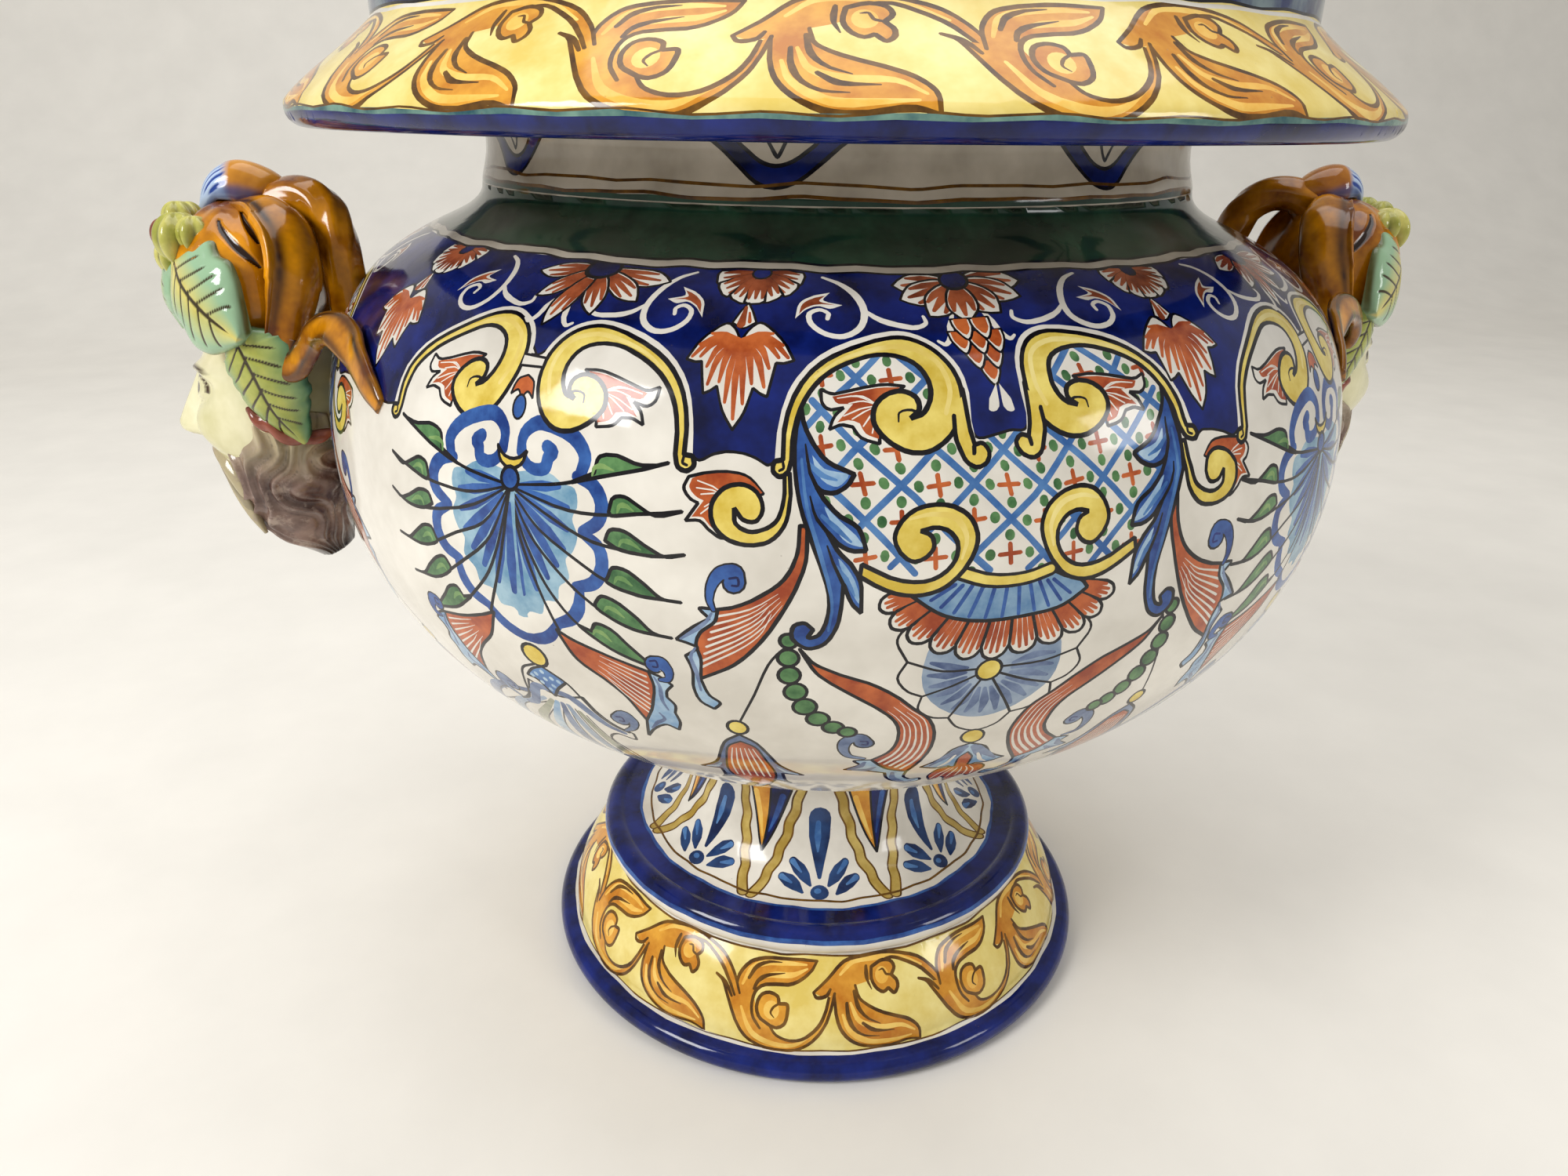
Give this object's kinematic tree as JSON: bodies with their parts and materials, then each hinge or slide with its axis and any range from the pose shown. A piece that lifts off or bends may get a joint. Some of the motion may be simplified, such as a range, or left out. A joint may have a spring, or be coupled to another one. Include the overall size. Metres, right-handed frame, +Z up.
{
  "type": "campana vase",
  "caption": "Two-handled faience campana vase on a turned foot, with a rounded bowl, flared rim and modelled mask handles, painted with lambrequin and leaf scrolls; holds flowers or a pot.",
  "frame": {"origin": "centre of the foot's underside, on the surface that the vase stands on", "axes": "+Z up along the vase's axis, -Y out of the main trellis panel, handles on +X and -X"},
  "size_m": [0.443, 0.3432, 0.3582],
  "materials": {
    "bowl_glaze": "glossy tin glaze, painted in blue, red, yellow and green",
    "collar_glaze": "glossy tin glaze, yellow band with orange leaf scrolls",
    "foot_glaze": "glossy tin glaze, yellow band, blue rings, white stem",
    "amber_glaze": "deep glossy amber glaze with brown edges",
    "cream_glaze": "glossy cream glaze",
    "beard_glaze": "glossy mottled manganese glaze",
    "leaf_glaze": "glossy green glaze with dark veins",
    "berry_glaze": "glossy yellow green glaze",
    "petal_glaze": "glossy white glaze with blue strokes",
    "steel": "zinc plated",
    "rubber": "matt black",
    "plaster": "matt bedding plaster"
  },
  "bodies": {
    "root": {"foot_pedestal": "foot_glaze", "bowl_body": "bowl_glaze", "rim_collar": "collar_glaze", "tie_rod": "steel", "bowl_seal": "rubber", "bowl_washer": "steel", "bowl_nut": "steel", "foot_seal": "rubber", "foot_washer": "steel", "foot_nut": "steel", "seat_ring": "plaster", "right_mask_face": "cream_glaze", "right_mask_beard": "beard_glaze", "right_mask_cap": "amber_glaze", "right_loop": "amber_glaze", "right_crest_petal": "petal_glaze", "right_front_leaf": "leaf_glaze", "right_berries": "berry_glaze", "right_back_drape": "amber_glaze", "right_back_ear_leaf": "leaf_glaze", "right_back_brow_leaf": "leaf_glaze", "right_back_ribbon_tail": "amber_glaze", "right_front_drape": "amber_glaze", "right_front_ear_leaf": "leaf_glaze", "right_front_brow_leaf": "leaf_glaze", "right_front_ribbon_tail": "amber_glaze", "left_mask_face": "cream_glaze", "left_mask_beard": "beard_glaze", "left_mask_cap": "amber_glaze", "left_loop": "amber_glaze", "left_crest_petal": "petal_glaze", "left_front_leaf": "leaf_glaze", "left_berries": "berry_glaze", "left_back_drape": "amber_glaze", "left_back_ear_leaf": "leaf_glaze", "left_back_brow_leaf": "leaf_glaze", "left_back_ribbon_tail": "amber_glaze", "left_front_drape": "amber_glaze", "left_front_ear_leaf": "leaf_glaze", "left_front_brow_leaf": "leaf_glaze", "left_front_ribbon_tail": "amber_glaze"}
  },
  "joints": []
}
